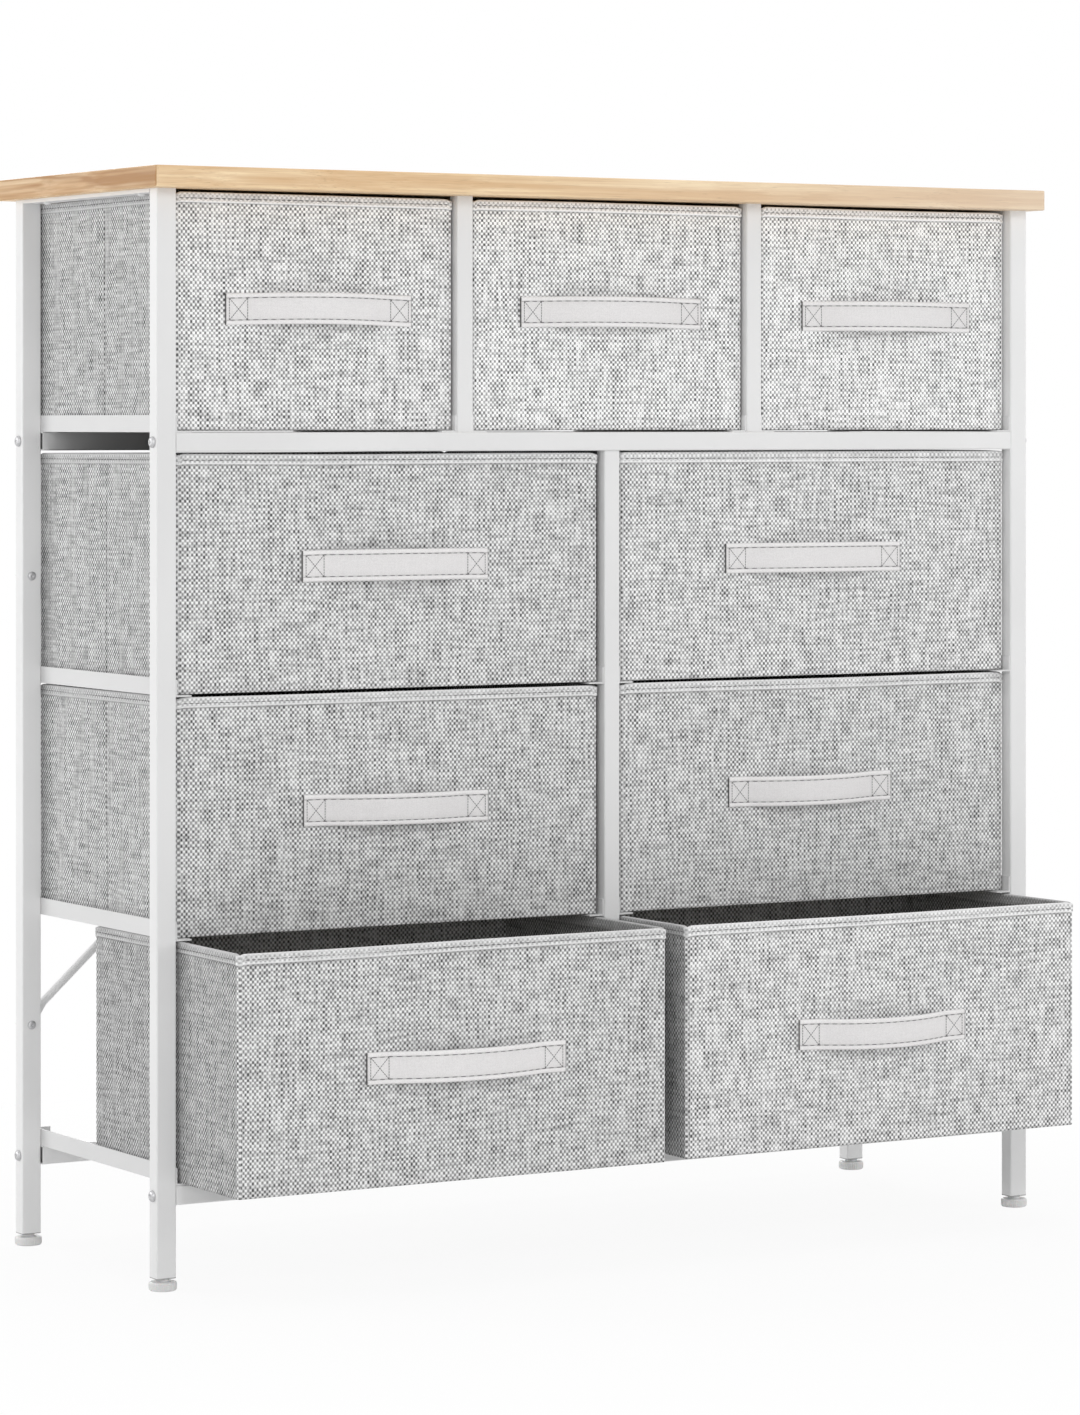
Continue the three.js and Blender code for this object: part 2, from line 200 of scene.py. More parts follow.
def cloud(tree, place, scale, detail=2.0, roughness=0.5, flat=False):
    """Noise around one half, at so many lumps to the metre."""
    node = tree.nodes.new("ShaderNodeTexNoise")
    node.noise_dimensions = "2D" if flat else "3D"
    wire(node.inputs["Vector"], place)
    wire(node.inputs["Scale"], scale)
    wire(node.inputs["Detail"], detail)
    wire(node.inputs["Roughness"], roughness)
    return node.outputs[0]


def blended(tree, share, first, second, way="MIX"):
    """Two colours mixed, or one laid over the other."""
    node = tree.nodes.new("ShaderNodeMix")
    node.data_type = "RGBA"
    node.blend_type = way
    wire(node.inputs[0], share)
    wire(node.inputs[6], first)
    wire(node.inputs[7], second)
    return node.outputs[2]


def raised(tree, height, depth, strength=1.0):
    """A bump of that depth in metres."""
    node = tree.nodes.new("ShaderNodeBump")
    wire(node.inputs["Strength"], strength)
    wire(node.inputs["Distance"], depth)
    wire(node.inputs["Height"], height)
    return node.outputs[0]


def object_place(tree):
    """Where the point lies on its own piece."""
    return tree.nodes.new("ShaderNodeTexCoord").outputs["Object"]


def mottled(name, colour, roughness, lumps, detail, dark, light):
    """A new material in patches of two tones, so many lumps to the metre. Also gives its tree, its
    shader, the place and the patches, for more to be laid by them."""
    material, tree, shader = finish(name, colour, roughness)
    place = object_place(tree)
    patches = graded(tree, cloud(tree, place, lumps, detail), 0.3, 0.7)
    wire(shader.inputs["Base Color"], blended(tree, patches, (*dark, 1), (*light, 1)))
    return material, tree, shader, place, patches


def powder_coat(name, tone, roughness, specular):
    """A coat of that mean tone, in patches a little darker and lighter, over fine orange peel."""
    tone_spread, gloss_spread, peel_depth = 0.02, 0.05, 0.00012
    base, dark, light = ([t] * 3 for t in (tone, tone - tone_spread, tone + tone_spread))
    coat, tree, shader, place, _ = mottled(name, base, roughness, 7, 3, dark, light)
    low, high = roughness - gloss_spread, roughness + gloss_spread
    gloss = graded(tree, cloud(tree, place, 30, 2), 0.3, 0.7, low, high)
    wire(shader.inputs["Roughness"], gloss)
    wire(shader.inputs["Normal"], raised(tree, cloud(tree, place, 700, 1), peel_depth, 0.5))
    wire(shader.inputs["Specular IOR Level"], specular)
    return coat


tube_coat = powder_coat("tube_powder_coat", 0.81, 0.36, 0.7)
# The folded sheet's coat is rougher than the tubes', and darker as painted shade
sheet_coat_with_painted_shade = powder_coat("sheet_powder_coat_with_painted_shade", 0.72, 0.5, 0.4)

tube_names = ("_leg", "_rail", "_post", "_divider_frame", "_top_bar", "_brace")
for name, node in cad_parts.items():
    if name.endswith(tube_names) or "_runner_" in name:
        for holder in node.material_slots:
            holder.material = tube_coat if name.endswith(tube_names) else sheet_coat_with_painted_shade


# The levelling feet: a knob of white plastic with finger grooves round its rim, moulded onto a
# threaded stem. The stem screws into the plate in the leg's lower end.
def bands(rings, columns):
    """Faces between each ring of points and the next."""
    faces = []
    for a in range(0, (rings - 1) * columns, columns):
        b = a + columns
        for i in range(columns):
            j = (i + 1) % columns
            faces.append((a + i, a + j, b + j, b + i))
    return faces


def turned(profile, columns, radius_at):
    """Points and faces of a shape turned about Z, from (radius, height) pairs between two on the
    axis."""
    points = []
    for radius, height in profile[1:-1]:
        for i in range(columns):
            turn = 2 * math.pi * i / columns
            reach = radius_at(radius, height, turn)
            points.append((reach * math.cos(turn), reach * math.sin(turn), height))
    rings = len(profile) - 2
    faces = bands(rings, columns)
    points += [(0, 0, profile[0][1]), (0, 0, profile[-1][1])]
    start, end, last = len(points) - 2, len(points) - 1, (rings - 1) * columns
    for i in range(columns):
        j = (i + 1) % columns
        faces.append((start, j, i))
        faces.append((end, last + i, last + j))
    return points, faces


def placed(points, place, axis=(0, 0, 1)):
    """Points made about Z, turned to lie along the axis and moved to their place."""
    turn = Vector(axis).to_track_quat("Z", "Y")
    return [turn @ Vector(p) + Vector(place) for p in points]


plastic, plastic_tree, plastic_shader, plastic_place, _ = mottled(
    "white_plastic", (0.78, 0.78, 0.775), 0.42, 60, 3, (0.74, 0.74, 0.735), (0.80, 0.80, 0.795)
)
plastic_grain = cloud(plastic_tree, plastic_place, 1600, 2)
wire(plastic_shader.inputs["Normal"], raised(plastic_tree, plastic_grain, 0.00006, 0.6))
wire(plastic_shader.inputs["Subsurface Weight"], 0.08)
wire(plastic_shader.inputs["Subsurface Scale"], 0.004)

zinc, zinc_tree, zinc_shader, _, zinc_patches = mottled(
    "zinc_plate", (0.55, 0.55, 0.56), 0.4, 400, 4, (0.42, 0.42, 0.43), (0.62, 0.62, 0.63)
)
wire(zinc_shader.inputs["Roughness"], graded(zinc_tree, zinc_patches, 0, 1, 0.32, 0.5))
wire(zinc_shader.inputs["Metallic"], 0.75)

knob_grooves = 36
groove_depth = 0.0006
groove_low, groove_low_run = 0.0006, 0.0012
groove_high, groove_high_run = 0.0082, 0.001
groove_inner_radius = 0.0115
knob_profile = [
    (0, 0.0007), (0.0088, 0.0007), (0.0094, 0.0001), (0.0100, 0), (0.0112, 0), (0.0120, 0.0002),
    (0.0126, 0.0007), (0.0129, 0.0014), (0.0130, 0.0022), (0.0130, 0.0042), (0.0130, 0.0062),
    (0.0129, 0.0069), (0.0126, 0.0075), (0.0120, 0.0080), (0.0112, 0.0083), (0.0100, 0.0084),
    (0.0074, 0.0084), (0.0067, 0.0086), (0.0063, 0.0091), (0.0062, 0.0098), (0.0062, 0.0106),
    (0.0060, 0.0109), (0.0056, 0.0110), (0, 0.0110),
]
stem_radius = 0.004
stem_tip_radius = 0.003
stem_low = 0.0109
stem_high = 0.0337
stem_columns = 24
thread_pitch = 0.00125
thread_depth = 0.00045
thread_low = 0.011
thread_run = 0.0222
thread_steps = 108


def ramp(distance, run):
    """From 0 to 1 while the distance goes from nothing to the whole run."""
    return min(1, max(0, distance / run))


def grooved(radius, height, turn):
    """The knob's rim, hollowed by finger grooves that run out at its top and bottom."""
    depth = groove_depth * (0.5 + 0.5 * math.cos(knob_grooves * turn)) ** 0.7
    fade = ramp(height - groove_low, groove_low_run) * ramp(groove_high - height, groove_high_run)
    return radius - depth * fade if radius > groove_inner_radius else radius


def threaded(radius, height, turn):
    """The stem's full radius, cut by the thread. Its two ends stay round."""
    if radius != stem_radius:
        return radius
    phase = height / thread_pitch - turn / (2 * math.pi)
    return radius - thread_depth * (0.5 + 0.5 * math.cos(2 * math.pi * phase))


stem_profile = [(0, stem_low), (stem_radius - thread_depth, stem_low)]
for step in range(thread_steps + 1):
    stem_profile.append((stem_radius, thread_low + thread_run * step / thread_steps))
stem_profile += [(stem_tip_radius, stem_high), (0, stem_high)]

corners = ("front_left", "rear_left", "front_right", "rear_right")
for corner in corners:
    low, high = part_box(f"{corner}_foot")
    centre = ((low.x + high.x) / 2, (low.y + high.y) / 2, 0)
    points, faces = turned(knob_profile, knob_grooves * 4, grooved)
    knob = mesh_object(f"{corner}_foot_knob", placed(points, centre), faces, plastic)
    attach(knob, f"{corner}_foot_body")
    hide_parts(f"{corner}_foot")
    points, faces = turned(stem_profile, stem_columns, threaded)
    stem = mesh_object(f"{corner}_foot_stem", placed(points, centre), faces, zinc)
    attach(stem, f"{corner}_foot_body")
    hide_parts(f"{corner}_foot")


# End plugs: a thin flange of grey plastic closes each leg's lower end round the foot's neck. It is
# pushed into the tube, and only its rim shows as a line under the steel.
plug_grey, plug_tree, plug_shader, plug_place, _ = mottled(
    "grey_plug_plastic", [0.42] * 3, 0.5, 300, 3, [0.38] * 3, [0.46] * 3
)
plug_grain = cloud(plug_tree, plug_place, 1600, 2)
wire(plug_shader.inputs["Normal"], raised(plug_tree, plug_grain, 0.00005, 0.6))
plug_half_width = 0.0101
plug_half_depth = 0.0081
plug_hole = 0.0066
plug_corner = 0.0017
plug_low = 0.0111
plug_bevel_top = 0.0113
plug_high = 0.0120
plug_bevel = 0.0003
plug_columns = 64


def rounded_reach(turn, half_x, half_y, corner):
    """How far a rounded rectangle's edge is from its centre, in the direction of the turn."""
    c, s = abs(math.cos(turn)), abs(math.sin(turn))
    reach = min(half_x / c if c > 1e-9 else 1e9, half_y / s if s > 1e-9 else 1e9)
    x, y = reach * c, reach * s
    inner_x, inner_y = half_x - corner, half_y - corner
    if x > inner_x and y > inner_y:
        along = inner_x * c + inner_y * s
        off = inner_x ** 2 + inner_y ** 2 - corner ** 2
        reach = along + math.sqrt(max(0, along ** 2 - off))
    return reach


# How far inside the plug's outline each ring of its flange lies, none for those of its hole, and
# how high. The last ring is joined to the first.
plug_rings = (
    (0, plug_bevel_top), (0, plug_high), (None, plug_high), (None, plug_low),
    (plug_bevel, plug_low),
)
plug_size = len(plug_rings) * plug_columns
plug_faces = bands(len(plug_rings) + 1, plug_columns)
plug_faces = [tuple(i % plug_size for i in face) for face in plug_faces]
for corner in corners:
    low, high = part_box(f"{corner}_leg")
    x, y = (low.x + high.x) / 2, (low.y + high.y) / 2
    points = []
    for inset, height in plug_rings:
        for i in range(plug_columns):
            turn = 2 * math.pi * (i + 0.5) / plug_columns
            reach = plug_hole
            if inset is not None:
                reach = rounded_reach(turn, plug_half_width, plug_half_depth, plug_corner) - inset
            points.append((x + reach * math.cos(turn), y + reach * math.sin(turn), height))
    plug = mesh_object(f"{corner}_leg_plug", points, plug_faces, plug_grey)
    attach(plug, "frame")


# Bolts and screws: button-head bolts through the legs hold the rails, smaller ones with round nuts
# hold the flattened ends of the cross braces, and pan-head screws go up through the top bars.
def socket_reach(turn, flat):
    """A hexagon's edge, so far from its centre on the flats."""
    return flat / math.cos((turn % (math.pi / 3)) - math.pi / 6)


def button_head(radius, height, flat):
    """A domed head about Z, standing on z = 0, with a hexagon socket. In its profile the socket's
    radii are negative."""
    columns, dome_steps = 48, 8
    crown = flat * 1.25
    profile = [(0, height * 0.4), (-flat, height * 0.42), (-flat, height * 0.97), (crown, height)]
    for step in range(1, dome_steps + 1):
        lean = math.pi / 2 * step / dome_steps
        dome_radius = crown + (radius - crown) * math.sin(lean)
        profile.append((dome_radius, height * (0.12 + 0.88 * math.cos(lean))))
    profile += [(radius, height * 0.06), (radius * 0.97, 0), (0, 0)]
    points, faces = turned(profile, columns, lambda r, h, t: socket_reach(t, -r) if r < 0 else r)
    return points, [tuple(reversed(f)) for f in faces]


def add_fastener(name, shape, place, axis, coat=zinc):
    """One fastener on the frame, its foot at the place and its head along the axis."""
    points, faces = shape
    piece = mesh_object(name, placed(points, place, axis), faces, coat)
    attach(piece, "frame")


rail_bolt = button_head(0.0053, 0.0034, 0.0016)
brace_bolt = button_head(0.0046, 0.0028, 0.0014)
brace_nut = button_head(0.0043, 0.0022, 0.0012)
board_screw = button_head(0.0038, 0.0022, 0.0012)
tab_thickness = 0.002
for end in ("front", "rear"):
    for side_name, side in (("left", -1), ("right", 1)):
        low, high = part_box(f"{end}_{side_name}_leg")
        outer = low.x if side < 0 else high.x
        for level in ("lower", "upper"):
            rail_low, rail_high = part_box(f"{level}_{end}_rail")
            place = (outer, (low.y + high.y) / 2, (rail_low.z + rail_high.z) / 2)
            name = f"{end}_{side_name}_{level}_rail_bolt"
            add_fastener(name, rail_bolt, place, (side, 0, 0))

brace_low = 0.213
brace_high = 0.647
brace_step = 0.022
leg_low, leg_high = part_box("rear_left_leg")
brace_leg_x = -(leg_low.x + leg_high.x) / 2
post_low, post_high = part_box("rear_centre_post")
for side_name, side in (("left", -1), ("right", 1)):
    for level, height in (("low", brace_low), ("high", brace_high)):
        step = brace_step if side > 0 else 0
        post_level = height + (step if level == "high" else -step)
        for held, x, y_front, y_rear, z in (
            ("leg", side * brace_leg_x, leg_low.y, leg_high.y, height),
            ("post", 0, post_low.y, post_high.y, post_level),
        ):
            name = f"{side_name}_brace_{level}_{held}"
            add_fastener(f"{name}_bolt", brace_bolt, (x, y_rear + tab_thickness, z), (0, 1, 0))
            add_fastener(f"{name}_nut", brace_nut, (x, y_front, z), (0, -1, 0))

leg_depth = 0.016
screw_inset = 0.052
for side_name in ("left", "right"):
    low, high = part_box(f"{side_name}_top_bar")
    x = (low.x + high.x) / 2
    front, rear = low.y - leg_depth + screw_inset, high.y + leg_depth - screw_inset
    for end, y in (("front", front), ("rear", rear)):
        name = f"{side_name}_top_bar_{end}_screw"
        add_fastener(name, board_screw, (x, y, low.z), (0, 0, -1), tube_coat)


# The board: chipboard under a light oak foil. The grain runs along its length on the top, the
# underside and the front and rear edges. The two end bands have their grain running along them too.
oak, oak_tree, oak_shader = finish("light_oak", (0.74, 0.52, 0.31), 0.5)
oak_parts = oak_tree.nodes.new("ShaderNodeSeparateXYZ")
wire(oak_parts.inputs[0], object_place(oak_tree))
oak_x, oak_y, oak_z = oak_parts.outputs
oak_normal = oak_tree.nodes.new("ShaderNodeSeparateXYZ")
wire(oak_normal.inputs[0], oak_tree.nodes.new("ShaderNodeNewGeometry").outputs["Normal"])
at_end = graded(oak_tree, reckon(oak_tree, "ABSOLUTE", oak_normal.outputs[0]), 0.6, 0.8)


def spot(tree, x, y, z=0.0):
    """A place for a texture, from its parts."""
    node = tree.nodes.new("ShaderNodeCombineXYZ")
    for socket, value in zip(node.inputs, (x, y, z)):
        wire(socket, value)
    return node.outputs[0]


def either(tree, share, first, second):
    """One number where the share is 0, and the other where it is 1."""
    node = tree.nodes.new("ShaderNodeMix")
    wire(node.inputs[0], share)
    wire(node.inputs[2], first)
    wire(node.inputs[3], second)
    return node.outputs[0]


end_grain_offset = 3.7
bend_stretch = 1.4
bend_reach = 0.05
oak_along = either(oak_tree, at_end, oak_x, oak_y)
oak_across = either(oak_tree, at_end, oak_y, reckon(oak_tree, "ADD", oak_x, end_grain_offset))
oak_bend_along = reckon(oak_tree, "MULTIPLY", oak_along, bend_stretch)
oak_bend = cloud(oak_tree, spot(oak_tree, oak_bend_along, oak_across, oak_z), 2.2, 2)
oak_drift = reckon(oak_tree, "MULTIPLY", reckon(oak_tree, "SUBTRACT", oak_bend, 0.5), bend_reach)


def oak_streak(along_scale, across_scale, detail):
    """Noise drawn out along the grain."""
    across = reckon(oak_tree, "ADD", oak_across, oak_drift)
    place = spot(
        oak_tree,
        reckon(oak_tree, "MULTIPLY", oak_along, along_scale),
        reckon(oak_tree, "MULTIPLY", across, across_scale),
        reckon(oak_tree, "MULTIPLY", oak_z, across_scale),
    )
    return cloud(oak_tree, place, 1, detail, 0.6)


broad_grain = graded(oak_tree, oak_streak(1.6, 75, 4), 0.38, 0.62)
fine_grain = graded(oak_tree, oak_streak(4, 260, 4), 0.38, 0.62)
pores = graded(oak_tree, oak_streak(26, 1500, 1), 0.62, 0.75)
fine_share = reckon(oak_tree, "MULTIPLY", fine_grain, 0.5)
pore_share = reckon(oak_tree, "MULTIPLY", pores, 0.4)
end_streak = graded(oak_tree, oak_streak(2.2, 110, 2), 0.42, 0.58, 0.42, 0.92)
end_share = reckon(oak_tree, "MULTIPLY", at_end, end_streak)
oak_light = blended(oak_tree, broad_grain, (0.99, 0.79, 0.52, 1), (0.76, 0.51, 0.28, 1))
oak_grained = blended(oak_tree, fine_share, oak_light, (0.66, 0.41, 0.21, 1))
oak_open = blended(oak_tree, pore_share, oak_grained, (0.42, 0.25, 0.12, 1))
oak_ends = blended(oak_tree, end_share, oak_open, (0.38, 0.18, 0.05, 1))
# Painted reflection: the board is painted paler and greyer towards its right end
oak_painted_reflection = graded(oak_tree, oak_x, -0.1, 0.5, 0.0, 0.4)
oak_colour = blended(oak_tree, oak_painted_reflection, oak_ends, (0.79, 0.69, 0.60, 1))
wire(oak_shader.inputs["Base Color"], oak_colour)
wire(oak_shader.inputs["Roughness"], graded(oak_tree, fine_grain, 0, 1, 0.42, 0.56))
oak_relief = reckon(oak_tree, "SUBTRACT", fine_grain, pores)
wire(oak_shader.inputs["Normal"], raised(oak_tree, oak_relief, 0.00008, 0.6))
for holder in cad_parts["top_board"].material_slots:
    holder.material = oak


# The drawers' shells: grey linen glued over card outside and inside, with sewn corners, a fold down
# the middle of each side, and a hem band stitched round the rim under a bound edge.
def woven(material, warp_pitch, weft_pitch, dark, light, gains, relief):
    """Plain weave laid by the piece's own weave map. Each thread has its own tone and slubs."""
    wander_across, wander_along = 90, 25
    thread_jump = 7.31
    patch_scale = 9
    streak_fine, streak_long = 330, 45
    tree = material.node_tree
    shader = tree.nodes["Principled BSDF"]
    place = tree.nodes.new("ShaderNodeUVMap")
    place.uv_map = "weave"
    parts = tree.nodes.new("ShaderNodeSeparateXYZ")
    wire(parts.inputs[0], place.outputs[0])
    across, up = parts.outputs[0], parts.outputs[1]

    def scaled(value, by):
        """The value so many times over."""
        return reckon(tree, "MULTIPLY", value, by)

    def noise(x, y, detail=0.0):
        """Noise around one half on the weave map."""
        return cloud(tree, spot(tree, x, y), 1, detail, 0.5, flat=True)

    def threads(run, pitch, wander):
        """Which thread of a set lies at the place, and how far across it the place is."""
        shift = scaled(wander, gains["wander"])
        moved = reckon(tree, "ADD", reckon(tree, "DIVIDE", run, pitch), shift)
        return reckon(tree, "FLOOR", moved), reckon(tree, "FRACT", moved)

    warp_wander = noise(scaled(across, wander_across), scaled(up, wander_along), 1.0)
    weft_wander = noise(scaled(across, wander_along), scaled(up, wander_across), 1.0)
    warp, warp_part = threads(across, warp_pitch, warp_wander)
    weft, weft_part = threads(up, weft_pitch, weft_wander)
    both = reckon(tree, "ADD", warp, weft)
    warp_on_top = reckon(tree, "FLOORED_MODULO", both, 2.0)
    warp_round = reckon(tree, "SINE", scaled(warp_part, math.pi))
    weft_round = reckon(tree, "SINE", scaled(weft_part, math.pi))

    def over(own, crossed):
        """A thread's crown where it lies over the other set, falling away where it dives under."""
        return reckon(tree, "MULTIPLY", own, reckon(tree, "MULTIPLY_ADD", crossed, 0.5, 0.5))

    height = either(tree, warp_on_top, over(weft_round, warp_round), over(warp_round, weft_round))
    warp_dot = reckon(tree, "MULTIPLY", height, warp_on_top)
    warp_slub = noise(scaled(warp, thread_jump), scaled(up, gains["slub_run"]), 2.0)
    weft_slub = noise(scaled(across, gains["slub_run"]), scaled(weft, thread_jump), 2.0)
    slub = either(tree, warp_on_top, weft_slub, warp_slub)
    speck_node = tree.nodes.new("ShaderNodeTexWhiteNoise")
    speck_node.noise_dimensions = "2D"
    wire(speck_node.inputs["Vector"], spot(tree, warp, weft))
    speck = speck_node.outputs["Value"]
    cloudy = noise(scaled(across, patch_scale), scaled(up, patch_scale), 3.0)
    row_streak = noise(scaled(across, streak_long), scaled(up, streak_fine))
    column_streak = noise(scaled(across, streak_fine), scaled(up, streak_long))

    tone = gains["middle"]
    for value, gain, middle in (
        (height, gains["crown"], gains["crown_middle"]),
        (slub, gains["slub"], 0.5),
        (speck, gains["speck"], 0.5),
        (warp_dot, gains["warp_dot"], 0.25),
        (cloudy, gains["cloud"], 0.5),
        (row_streak, gains["streak"], 0.5),
        (column_streak, gains["streak"], 0.5),
    ):
        part = scaled(reckon(tree, "SUBTRACT", value, middle), gain)
        tone = reckon(tree, "ADD", part, tone)
    pressed = tree.nodes.new("ShaderNodeAttribute")
    pressed.attribute_name = "pressed"
    tone = either(tree, pressed.outputs["Fac"], tone, gains["pressed_tone"])
    tone = reckon(tree, "ADD", tone, 0.0, clamp=True)
    cloth = blended(tree, tone, (*dark, 1), (*light, 1))
    # The weave's colour is multiplied by the painted shade, painted highlight and tone stored on
    # the piece's points
    painted_shade_attribute = tree.nodes.new("ShaderNodeAttribute")
    painted_shade_attribute.attribute_name = "painted_shade_and_tone"
    painted_shade_and_tone = tree.nodes.new("ShaderNodeCombineColor")
    for socket in painted_shade_and_tone.inputs:
        wire(socket, painted_shade_attribute.outputs["Fac"])
    wire(shader.inputs["Base Color"], blended(tree, 1.0, cloth, painted_shade_and_tone.outputs[0], "MULTIPLY"))
    wire(shader.inputs["Normal"], raised(tree, height, relief, 0.6))


linen, _, linen_shader = finish("grey_linen", (0.6, 0.6, 0.6), 0.95)
wire(linen_shader.inputs["Specular IOR Level"], 0.15)
wire(linen_shader.inputs["Sheen Weight"], 0.08)
# The cloth's middle tone, how far its threads wander and how much each thing adds to the tone
linen_gains = {
    "middle": 0.535, "wander": 0.6, "crown": 0.44, "crown_middle": 0.42, "slub": 0.6,
    "slub_run": 18.0, "speck": 0.1, "warp_dot": -0.9, "cloud": 0.05, "streak": 0.36,
    "pressed_tone": 0.62,
}
warp_pitch, weft_pitch, linen_relief = 0.0024, 0.0026, 0.0002
linen_dark, linen_light = (0.07, 0.07, 0.072), (1.0, 1.0, 1.0)
woven(linen, warp_pitch, weft_pitch, linen_dark, linen_light, linen_gains, linen_relief)

wall_radius = 0.0026
corner_steps = 6
rim_top = 0.22085
hem_proud = 0.0011

# Across the wall from the outer bottom edge, over the rim and down to the floor inside: how far
# out, how high, the cloth's tone and how flat it is pressed. The tone is darker along the bottom
# edges inside and out, holds painted shade under the hem and in its stitch groove, painted
# highlight along the hem's lower fold and over the rim, and a lighter hem band. Long stretches are
# filled in.
outer_edge = [
    (-0.0016, 0, 0.75, 0), (-0.0008, 0.0001, 0.75, 0), (-0.00025, 0.0005, 0.8, 0),
    (0, 0.0012, 0.9, 0), (0, 0.003, 1, 0),
]
hem_outer = [
    (0, 0.2070, 1, 0), (0, 0.2092, 0.92, 0), (0, 0.2104, 0.76, 0.1), (0.0001, 0.2110, 0.55, 0.5),
    (0.0007, 0.2113, 1.25, 0.9), (0.0011, 0.2118, 1.38, 0.9), (0.00115, 0.2127, 1.34, 0.8),
    (0.0011, 0.2133, 1.13, 0.5), (0.0011, 0.2144, 1.11, 0.5), (0.0009, 0.2149, 1, 0.5),
    (0.0007, 0.2152, 0.85, 0.6), (0.0009, 0.2155, 1, 0.5), (0.0011, 0.2160, 1.12, 0.5),
    (0.0011, 0.2185, 1.14, 0.5), (0.0012, 0.2196, 1.22, 0.7), (0.0009, 0.2203, 1.32, 0.9),
    (0.0002, 0.2207, 1.36, 0.9), (-0.0014, rim_top, 1.36, 0.9), (-0.0030, 0.2207, 1.3, 0.9),
    (-0.0039, 0.2202, 1.15, 0.8), (-0.0042, 0.2194, 1.05, 0.6),
]
hem_inner = [
    (-0.0041, 0.2180, 0.98, 0.5), (-0.0041, 0.2150, 0.96, 0.5), (-0.0041, 0.2112, 0.96, 0.5),
    (-0.0036, 0.2104, 0.8, 0.3), (-0.0030, 0.2100, 0.78, 0),
]
inner_edge = [(-0.0030, 0.0040, 0.8, 0), (-0.0032, 0.0032, 0.75, 0), (-0.0040, 0.0030, 0.75, 0)]
outer_steps, inner_steps = 24, 16
plain_hem_rows = 3


def stretch(start, end, count):
    """Rows between two levels of a plain wall."""
    (out, low, _, _), (_, high, _, _) = start, end
    return [(out, low + (high - low) * i / count, 1.0, 0.0) for i in range(1, count)]


wall_rows = outer_edge + stretch(outer_edge[-1], hem_outer[0], outer_steps)
wall_rows += hem_outer + hem_inner
wall_rows += stretch(hem_inner[-1], inner_edge[0], inner_steps) + inner_edge
outer_rows = len(outer_edge) + outer_steps - 1 + plain_hem_rows

sewn_ends = (0, 0.0003, 0.0006, 0.0009, 0.0012, 0.0016, 0.0022, 0.0032, 0.005)
fold_places = (0, 0.0003, 0.0007, 0.0012, 0.002, 0.0034)
fold_clear = 0.004
wall_cell = 0.009


def places_along(length, ends, count, folded=False):
    """Places close together at both ends and at a fold, and so many even steps between the ends."""
    plain = length - 2 * ends[-1]
    places = set(ends) | {length - p for p in ends}
    places |= {ends[-1] + plain * i / count for i in range(1, count)}
    if folded:
        places = {p for p in places if abs(p - length / 2) > fold_clear}
        places |= {length / 2 + way * p for p in fold_places for way in (-1, 1)}
    return sorted({round(p, 7) for p in places})


def shell_columns(width, depth):
    """The drawer's outline from above, from its front left corner round by the right. Each column
    has its place, the way out, the run along the cloth, the panel, the distance along it and the
    panel's length."""
    half, straight = width / 2 - wall_radius, depth - 2 * wall_radius
    panels = [
        ((-half, 0), (1, 0), (0, -1), 2 * half),
        ((half + wall_radius, wall_radius), (0, 1), (1, 0), straight),
        ((half, depth), (-1, 0), (0, 1), 2 * half),
        ((-half - wall_radius, depth - wall_radius), (0, -1), (-1, 0), straight),
    ]
    columns, run = [], 0.0
    for panel, (start, way, out, length) in enumerate(panels):
        steps = math.ceil((length - 2 * sewn_ends[-1]) / wall_cell)
        for along in places_along(length, sewn_ends, steps, panel % 2 == 1):
            x, y = start[0] + way[0] * along, start[1] + way[1] * along
            columns.append((x, y, out[0], out[1], run + along, panel, along, length))
        run += length
        centre_x = start[0] + way[0] * length - out[0] * wall_radius
        centre_y = start[1] + way[1] * length - out[1] * wall_radius
        for step in range(1, corner_steps):
            lean = math.pi / 2 * step / corner_steps
            nx = out[0] * math.cos(lean) + way[0] * math.sin(lean)
            ny = out[1] * math.cos(lean) + way[1] * math.sin(lean)
            x, y = centre_x + nx * wall_radius, centre_y + ny * wall_radius
            bend = wall_radius * lean
            columns.append((x, y, nx, ny, run + bend, panel, length + bend, length))
        run += wall_radius * math.pi / 2
    return columns, run


# The card bows out in waves and leans. The corner seams are a groove beside a low ridge, and the
# sides fold inward round a sharp crease. Grooves and creases are darkened with painted shade, and
# the ridges lightened with a painted highlight.
card_bow, card_wave, card_lean = 0.0004, 0.00022, 0.0003
corner_hold = 0.6
seam_in, seam_width, seam_depth, seam_painted_shade = 0.0007, 0.00042, 0.0008, 0.55
ridge_out, ridge_width, ridge_height, ridge_painted_highlight = 0.0006, 0.0011, 0.0004, 0.12
slack_seam = 0.25
strong_seam = ("row4_right",)
fold_depth, fold_reach, fold_inside = 0.0010, 0.022, 0.6
crease_depth, crease_width, crease_painted_shade = 0.0009, 0.0007, 0.45

# Painted light and shade on the drawers' linen: the fronts are painted lighter on the top row and
# towards the right, the sides darker as painted shade, and the painted marks on the side hems are
# softened except on the lowest row
usual_side_painted_shade = 0.79
side_painted_shade = {"row4_left": 0.68, "row4_right": 0.7}
front_painted_light_and_shade = {
    "row1_left": 1.13, "row1_middle": 1.21, "row1_right": 1.25, "row2_right": 1.08,
    "row3_left": 0.99, "row3_right": 1.02, "row4_left": 0.96, "row4_right": 1.08,
}
quiet_hem = 0.45

